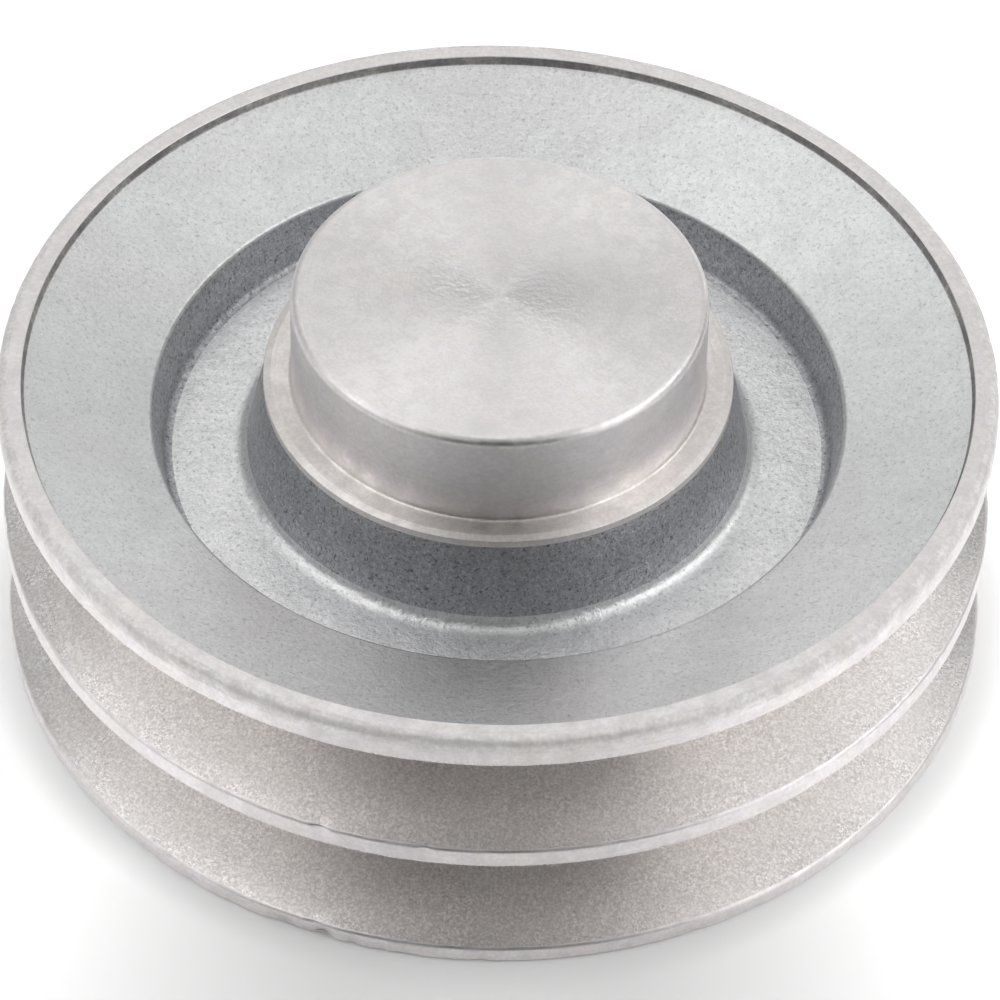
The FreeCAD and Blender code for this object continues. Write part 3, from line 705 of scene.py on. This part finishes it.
def wall_finish(name, roughness, anisotropy, marks, light=TURNED_LIGHT, dark=TURNED_DARK):
    """Turned wall: rings of tool marks, one above the other along the axis."""
    f = Finish(name, metallic=1.0, anisotropic=anisotropy, anisotropic_rotation=QUARTER_TURN)
    along = f.math("ADD", f.z, f.math("MULTIPLY", f.radius, 0.37))
    rings = f.lines(along, 0.30, 3.0, 0.08)
    broad = f.noise(3.0, 5.0, 0.7)
    scratches = f.remap(f.streaks(along, 0.25, 6.0), 0.58, 0.74)
    grain = f.noise(0.55, 3.0, 0.65)
    smudge = f.remap(f.noise(7.0, 4.0, 0.6), 0.46, 0.66)
    tone = machined_tone(f, rings, broad, smudge, grain, light, dark)
    f.colour(f.mix(f.math("MULTIPLY", scratches, 0.22), tone, tuple(0.7 * c for c in dark)))
    f.roughness(f.remap(broad, 0.38, 0.62, roughness - 0.04, roughness + 0.10))
    f.bumps((rings, marks), (grain, 1.6 * marks))
    f.turned_tangent()
    return f.material


GROOVE_LIGHT = (0.99, 0.96, 0.95)
GROOVE_DARK = (0.44, 0.42, 0.41)
GROOVE_CREAM = (0.80, 0.78, 0.73)
GROOVE_RING = (0.70, 0.67, 0.66)


def groove_finish(name):
    """Belt groove: turned, with a fine sparkling grain."""
    f = Finish(name, metallic=1.0, anisotropic=0.75, anisotropic_rotation=QUARTER_TURN)
    along = f.math("ADD", f.z, f.math("MULTIPLY", f.radius, 0.37))
    rings = f.lines(along, 0.4, 2.0, 0.2)
    fine = f.noise(0.30, 2.0, 0.6)
    grain = f.noise(0.52, 3.0, 0.7)
    cloud = f.remap(f.noise(5.5, 3.0, 0.6), 0.38, 0.66)
    tone = f.mix(f.math("MULTIPLY", f.remap(grain, 0.42, 0.60), 0.44), GROOVE_LIGHT, GROOVE_DARK)
    tone = f.mix(f.math("MULTIPLY", f.remap(fine, 0.42, 0.58), 0.42), tone, GROOVE_DARK)
    tone = f.mix(f.math("MULTIPLY", cloud, 0.25), tone, GROOVE_CREAM)
    f.colour(f.mix(f.math("MULTIPLY", f.remap(rings, 0.4, 0.7), 0.08), tone, GROOVE_RING))
    f.roughness(f.remap(cloud, 0.0, 1.0, 0.26, 0.31))
    f.bumps((fine, 0.014), (grain, 0.026), (rings, 0.004))
    f.turned_tangent()
    return f.material


def steel_finish(name, light, dark, roughness, marks, anisotropy=0.3):
    """Turned or ground steel."""
    f = Finish(name, metallic=1.0, anisotropic=anisotropy, anisotropic_rotation=QUARTER_TURN)
    along = f.math("ADD", f.z, f.math("MULTIPLY", f.radius, 0.61))
    rings = f.lines(along, 0.22, 3.0, 0.05)
    stain = f.remap(f.noise(5.0, 3.0, 0.6), 0.42, 0.70)
    tone = f.mix(f.math("MULTIPLY", f.remap(rings, 0.3, 0.7), 0.4), light, dark)
    f.colour(f.mix(f.math("MULTIPLY", stain, 0.35), tone, dark))
    f.roughness(f.remap(stain, 0.0, 1.0, roughness, roughness + 0.10))
    f.bumps((rings, marks), (f.noise(0.3, 2.0, 0.6), 0.4 * marks))
    f.turned_tangent()
    return f.material


def plated_finish(name, light, tint, dark):
    """Zinc plate over pressed or milled steel, with a faint passivation tint."""
    f = Finish(name, metallic=1.0)
    cloud = f.remap(f.noise(6.0, 3.0, 0.6), 0.38, 0.66)
    grain = f.noise(0.25, 3.0, 0.6)
    tone = f.mix(f.math("MULTIPLY", cloud, 0.6), light, tint)
    f.colour(f.mix(f.math("MULTIPLY", f.remap(grain, 0.4, 0.7), 0.25), tone, dark))
    f.roughness(f.remap(cloud, 0.0, 1.0, 0.28, 0.42))
    f.bumps((grain, 0.006), (f.noise(2.5, 2.0, 0.5), 0.02))
    return f.material


def phosphate_finish(name):
    """Dark phosphated spring steel."""
    f = Finish(name, metallic=0.6)
    grain = f.noise(0.2, 3.0, 0.65)
    cloud = f.remap(f.noise(3.0, 3.0, 0.6), 0.4, 0.66)
    tone = f.mix(cloud, (0.060, 0.056, 0.052), (0.115, 0.108, 0.100))
    f.colour(f.mix(f.math("MULTIPLY", f.remap(grain, 0.5, 0.7), 0.4), tone, (0.20, 0.19, 0.18)))
    f.roughness(f.remap(grain, 0.3, 0.7, 0.42, 0.60))
    f.bumps((grain, 0.008))
    return f.material


def ball_finish(name):
    """Polished bearing ball with a faint grease film."""
    f = Finish(name, metallic=1.0)
    film = f.remap(f.noise(1.6, 2.0, 0.5), 0.45, 0.70)
    f.colour(f.mix(film, (0.80, 0.80, 0.82), (0.72, 0.71, 0.68)))
    f.roughness(f.remap(film, 0.0, 1.0, 0.06, 0.16))
    f.bumps((f.noise(0.3, 2.0, 0.5), 0.0008))
    return f.material


def rubber_finish(name):
    """Moulded black seal rubber, a little dusty."""
    f = Finish(name, metallic=0.0)
    dust = f.remap(f.noise(2.2, 4.0, 0.65), 0.50, 0.72)
    grain = f.noise(0.12, 2.0, 0.6)
    f.colour(f.mix(f.math("MULTIPLY", dust, 0.4), (0.022, 0.022, 0.024), (0.085, 0.082, 0.078)))
    f.roughness(f.remap(dust, 0.0, 1.0, 0.52, 0.72))
    f.bumps((grain, 0.010))
    return f.material


def body_finishes():
    """Finish of each surface of the wheel casting."""
    return {
        "nose_face": nose_finish("turned_nose_face"),
        "nose_wall": wall_finish("turned_nose_wall", 0.40, 0.50, 0.008),
        "register": face_finish("turned_register", 0.40, 0.40, 0.014, LEDGE_LIGHT, LEDGE_DARK),
        "lip": face_finish("turned_lip", 0.42, 0.40, 0.010),
        "lip_edge": wall_finish("turned_lip_edge", 0.66, 0.0, 0.010, LIP_EDGE_LIGHT, TURNED_DARK),
        "land": wall_finish("turned_land", 0.42, 0.40, 0.010),
        # painted shade in the crease between lip and dish
        "lip_step_painted_shade": wall_finish("lip_step_painted_shade", 0.45, 0.0, 0.020, STEP_PAINTED_SHADE_LIGHT, STEP_PAINTED_SHADE_DARK),
        "groove": groove_finish("belt_groove"),
        "dish": cast_finish("cast_dish", CAST_LIGHT, CAST_DARK, CAST_WARM, 0.41, 0.30, 0.35, 0.050),
        "cone": cast_finish("cast_cone", CAST_BLUE, CAST_BLUE_DARK, CONE_WARM, 0.44, 0.70, 0.80, 0.10),
        "recess_wall": cast_finish("cast_recess_wall", CAST_BLUE, CAST_BLUE_DARK, WALL_WARM,
                                   0.46, 0.70, 0.80, 0.10),
        "recess_floor": cast_finish("cast_recess_floor", WEB_LIGHT, CAST_DARK, CAST_LIGHT,
                                    0.42, 0.34, 0.45, 0.08),
        "bore": wall_finish("bored_housing", 0.30, 0.30, 0.008, BORE_LIGHT, BORE_DARK),
    }


def axle_finishes():
    """Finish of each surface of the axle."""
    light, dark = (0.60, 0.59, 0.585), (0.40, 0.39, 0.385)
    return {
        "axle_face": steel_finish("turned_axle_face", light, dark, 0.30, 0.006, 0.5),
        "axle_journal": steel_finish("ground_axle_journal", light, dark, 0.16, 0.002),
        "axle_thread": steel_finish("cut_axle_thread", (0.52, 0.51, 0.50), (0.30, 0.29, 0.28), 0.34, 0.006),
    }


def node_finishes():
    """Finish for each CAD node that stays, by what its name says."""
    bearing = steel_finish("ground_bearing_steel", (0.68, 0.68, 0.69), (0.54, 0.54, 0.55), 0.14, 0.002)
    cage = plated_finish("pressed_cage_steel", (0.62, 0.61, 0.60), (0.55, 0.53, 0.50), (0.40, 0.39, 0.38))
    zinc = plated_finish("zinc_plate", (0.70, 0.71, 0.74), (0.72, 0.71, 0.62), (0.48, 0.49, 0.50))
    spacer = steel_finish("turned_spacer_steel", (0.58, 0.57, 0.56), (0.42, 0.41, 0.40), 0.28, 0.006)
    return {
        "_ring": bearing,
        "_ball_": ball_finish("polished_ball"),
        "_cage_": cage,
        "_seal": rubber_finish("seal_rubber"),
        "_spacer": spacer,
        "lock_": zinc,
        "dust_shield": zinc,
        "retaining_ring": phosphate_finish("phosphated_spring_steel"),
    }


# ---------------------------------------------------------------------------
# Pieces
# ---------------------------------------------------------------------------

def add_casting():
    """The wheel casting, in place of its CAD node."""
    piece = turned_mesh("wheel_casting", casting_corners(), BODY_SEGMENTS, body_finishes(), wear)
    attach(piece, "pulley")
    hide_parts("pulley_body")


def add_axle():
    """The axle with its threads cut, in place of its CAD node."""
    piece = turned_mesh("threaded_axle", axle_corners(), AXLE_SEGMENTS, axle_finishes(), axle_shape, False)
    for v in piece.data.vertices:
        if v.co.z > HOUSING_SHOULDER * MM and abs(v.co.x) < KEYWAY_HALF * MM and v.co.y > KEYWAY_FLOOR * MM:
            v.co.y = KEYWAY_FLOOR * MM
    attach(piece, "axle_group")
    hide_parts("axle")


def dress_cad_nodes():
    """Give every CAD node that stays its finish."""
    finishes = node_finishes()
    for name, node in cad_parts.items():
        if name in ("pulley_body", "axle"):
            continue
        if name == "retaining_ring":
            chosen = finishes["retaining_ring"]
        else:
            chosen = next(m for key, m in finishes.items() if key in name)
        node.data.materials.clear()
        node.data.materials.append(chosen)


# ---------------------------------------------------------------------------
# Stage, light and camera
# ---------------------------------------------------------------------------

FLOOR_HALF = 6.0                # m
PALE = (0.91, 0.91, 0.91)
PALER = (0.93, 0.93, 0.93)
WHITE = (1.0, 1.0, 1.0, 1.0)
FLOOR_DROP = 0.05               # mm, keeps the floor clear of the rim's face
FLOOR_GLOW = 0.52               # painted glow of the floor round the wheel, which also lights the wheel from below
FAR_GLOW = 0.10                 # the same further out
GLOW_START = (63.0, 71.0)       # mm from the axis, where the glow starts and where it is full; the dimmer ring between is a painted shadow at the wheel's foot
GLOW_FADE = (130.0, 240.0)      # mm from the axis, where it starts to fade and where it ends
FAR_SHEET = (500.0, 900.0)      # mm from the axis, where the floor turns pale again
FAR_SHEET_GLOW = 0.65
FRONT_SHADE = (0.72, 0.97)      # how far round to the front the glow weakens into a painted shadow, as cosines
FRONT_GLOW = 0.25               # share of the glow left straight in front


def add_floor():
    """Pale floor with a painted glow round the wheel that lights it from below, a painted shadow ring at
    the wheel's foot and a painted shadow in front.
    """
    mesh = bpy.data.meshes.new("floor")
    half = FLOOR_HALF
    points = [(-half, -half, 0), (half, -half, 0), (half, half, 0), (-half, half, 0)]
    mesh.from_pydata(points, [], [(0, 1, 2, 3)])
    floor = bpy.data.objects.new("floor", mesh)
    bpy.context.scene.collection.objects.link(floor)
    f = Finish("floor", metallic=0.0)
    f.colour(f.mix(f.noise(400.0, 1.0), PALE, PALER))
    f.roughness(f.remap(f.noise(300.0, 1.0), 0.0, 1.0, 0.85, 0.95))
    # painted light: glow round the wheel, dimmed at its foot and in front as painted shadows
    near = f.remap(f.radius, *GLOW_START, 0.0, FLOOR_GLOW)
    fading = f.remap(f.radius, *GLOW_FADE, 0.0, FLOOR_GLOW - FAR_GLOW)
    forward = f.math("DIVIDE", f.math("MULTIPLY", f.y, -1.0), f.radius)
    shade = f.remap(forward, *FRONT_SHADE, 1.0, FRONT_GLOW)
    glow = f.math("MULTIPLY", f.math("SUBTRACT", near, fading), shade)
    far = f.remap(f.radius, *FAR_SHEET, 0.0, FAR_SHEET_GLOW)
    f.set(f.shader.inputs["Emission Strength"], f.math("ADD", glow, far))
    f.shader.inputs["Emission Color"].default_value = WHITE
    mesh.materials.append(f.material)
    floor.location.z = -FLOOR_DROP * MM


BACKDROP_RADIUS = 5.5           # m
BACKDROP_HEIGHT = 5.0           # m
BACKDROP_FOOT = -0.01           # m, a little below the floor
BACKDROP_GLOW = 0.75
BACKDROP_SIDES = 96


def add_backdrop():
    """Pale round backdrop that low views look at; it casts no light on the wheel."""
    mesh = bpy.data.meshes.new("backdrop")
    points = []
    for i in range(BACKDROP_SIDES):
        turn = 2 * math.pi * i / BACKDROP_SIDES
        for height in (BACKDROP_FOOT, BACKDROP_HEIGHT):
            points.append((BACKDROP_RADIUS * math.cos(turn), BACKDROP_RADIUS * math.sin(turn), height))
    count = len(points)
    faces = [(i, i + 1, (i + 3) % count, (i + 2) % count) for i in range(0, count, 2)]
    mesh.from_pydata(points, [], faces)
    backdrop = bpy.data.objects.new("backdrop", mesh)
    bpy.context.scene.collection.objects.link(backdrop)
    backdrop.visible_diffuse = False
    backdrop.visible_glossy = False
    backdrop.visible_transmission = False
    backdrop.visible_shadow = False
    f = Finish("backdrop", metallic=0.0)
    f.colour(f.mix(f.noise(900.0, 1.0), PALE, PALER))
    f.roughness(f.remap(f.noise(700.0, 1.0), 0.0, 1.0, 0.85, 0.95))
    f.shader.inputs["Emission Color"].default_value = WHITE
    f.shader.inputs["Emission Strength"].default_value = BACKDROP_GLOW
    mesh.materials.append(f.material)


# Softboxes round the wheel: degrees round from the camera, to the right; degrees
# above the floor; width and height (m); watts. Each faces the wheel.
Softbox = namedtuple("Softbox", "name round above width height watts")
SOFTBOXES = [
    Softbox("right_low", 60, 12, 0.66, 0.50, 1.4),
    Softbox("right_back_low", 150, 12, 0.66, 0.50, 1.1),
    Softbox("right_front", 60, 36, 0.54, 0.56, 1.75),
    Softbox("right", 90, 36, 0.54, 0.56, 2.2),
    Softbox("right_back", 120, 36, 0.54, 0.56, 1.1),
    Softbox("right_far_back", 150, 36, 0.54, 0.56, 0.35),
    Softbox("right_front_high", 60, 61, 0.64, 0.56, 1.1),
    Softbox("right_back_high", 120, 61, 0.64, 0.56, 0.85),
    Softbox("left_low", -60, 12, 0.66, 0.50, 0.5),
    Softbox("left_side_low", -105, 12, 1.30, 0.50, 1.05),
    Softbox("left_back_low", -150, 12, 0.66, 0.50, 0.25),
    Softbox("left_front", -60, 36, 0.54, 0.56, 1.05),
    Softbox("left", -90, 36, 0.54, 0.56, 1.45),
    Softbox("left_back", -120, 36, 0.54, 0.56, 0.25),
    Softbox("left_far_back", -150, 36, 0.54, 0.56, 0.7),
    Softbox("left_front_high", -60, 61, 0.64, 0.56, 1.45),
    Softbox("left_back_high", -120, 61, 0.64, 0.56, 1.3),
    Softbox("back_low", 180, 12, 0.66, 0.50, 1.0),
    Softbox("back", 180, 36, 0.54, 0.56, 0.6),
    Softbox("back_high", 180, 61, 0.64, 0.56, 1.35),
    Softbox("top", 180, 89.9, 0.70, 0.70, 0.35),
]
SOFTBOX_DISTANCE = 1.25         # m from the wheel's middle
SOFTBOX_AIM = (0.0, 0.0, 0.03)  # m, the point that they face
ROOM_STRENGTH = 0.015
ROOM_COLOUR = (0.95, 0.97, 1.0, 1.0)


def add_softboxes():
    """Softboxes above, behind and at both sides."""
    middle = Vector(SOFTBOX_AIM)
    for box in SOFTBOXES:
        data = bpy.data.lights.new("softbox_" + box.name, "AREA")
        data.shape = "RECTANGLE"
        data.size = box.width
        data.size_y = box.height
        data.energy = box.watts
        lamp = bpy.data.objects.new("softbox_" + box.name, data)
        turn, lift = math.radians(box.round - 90), math.radians(box.above)
        away = Vector((math.cos(turn) * math.cos(lift), math.sin(turn) * math.cos(lift), math.sin(lift)))
        lamp.location = middle + away * SOFTBOX_DISTANCE
        lamp.rotation_euler = (-away).to_track_quat("-Z", "Y").to_euler()
        bpy.context.scene.collection.objects.link(lamp)


def add_room():
    """Dim pale room round the softboxes."""
    world = bpy.data.worlds.new("room")
    world.use_nodes = True
    background = world.node_tree.nodes["Background"]
    background.inputs["Color"].default_value = ROOM_COLOUR
    background.inputs["Strength"].default_value = ROOM_STRENGTH
    bpy.context.scene.world = world


CAMERA_ELEVATION = 45.48        # degrees above the horizon
CAMERA_DISTANCE = 798.5         # mm from the point it looks at
CAMERA_AIM = (0.56, 0.0, 17.9)  # mm, inside the wheel
CAMERA_ROLL = 1.21              # degrees
CAMERA_LENS = 213.6             # mm
CAMERA_SENSOR = 36.0            # mm wide
CAMERA_CLIP = (0.05, 20.0)      # m


def add_camera():
    """Camera at the viewing angle of the picture."""
    data = bpy.data.cameras.new("camera")
    data.sensor_width = CAMERA_SENSOR
    data.lens = CAMERA_LENS
    data.clip_start, data.clip_end = CAMERA_CLIP
    camera = bpy.data.objects.new("camera", data)
    bpy.context.scene.collection.objects.link(camera)
    lift = math.radians(CAMERA_ELEVATION)
    back = Vector((-CAMERA_AIM[0] / (CAMERA_DISTANCE * math.cos(lift)), -math.cos(lift), math.sin(lift)))
    aim = Vector(CAMERA_AIM) * MM
    turn = (-back).to_track_quat("-Z", "Y").to_matrix() @ Matrix.Rotation(math.radians(CAMERA_ROLL), 3, "Z")
    camera.matrix_world = Matrix.Translation(aim + back * CAMERA_DISTANCE * MM) @ turn.to_4x4()
    bpy.context.scene.camera = camera


add_casting()
add_axle()
dress_cad_nodes()
add_floor()
add_backdrop()
add_softboxes()
add_room()
add_camera()
bpy.context.scene.view_settings.view_transform = "Standard"
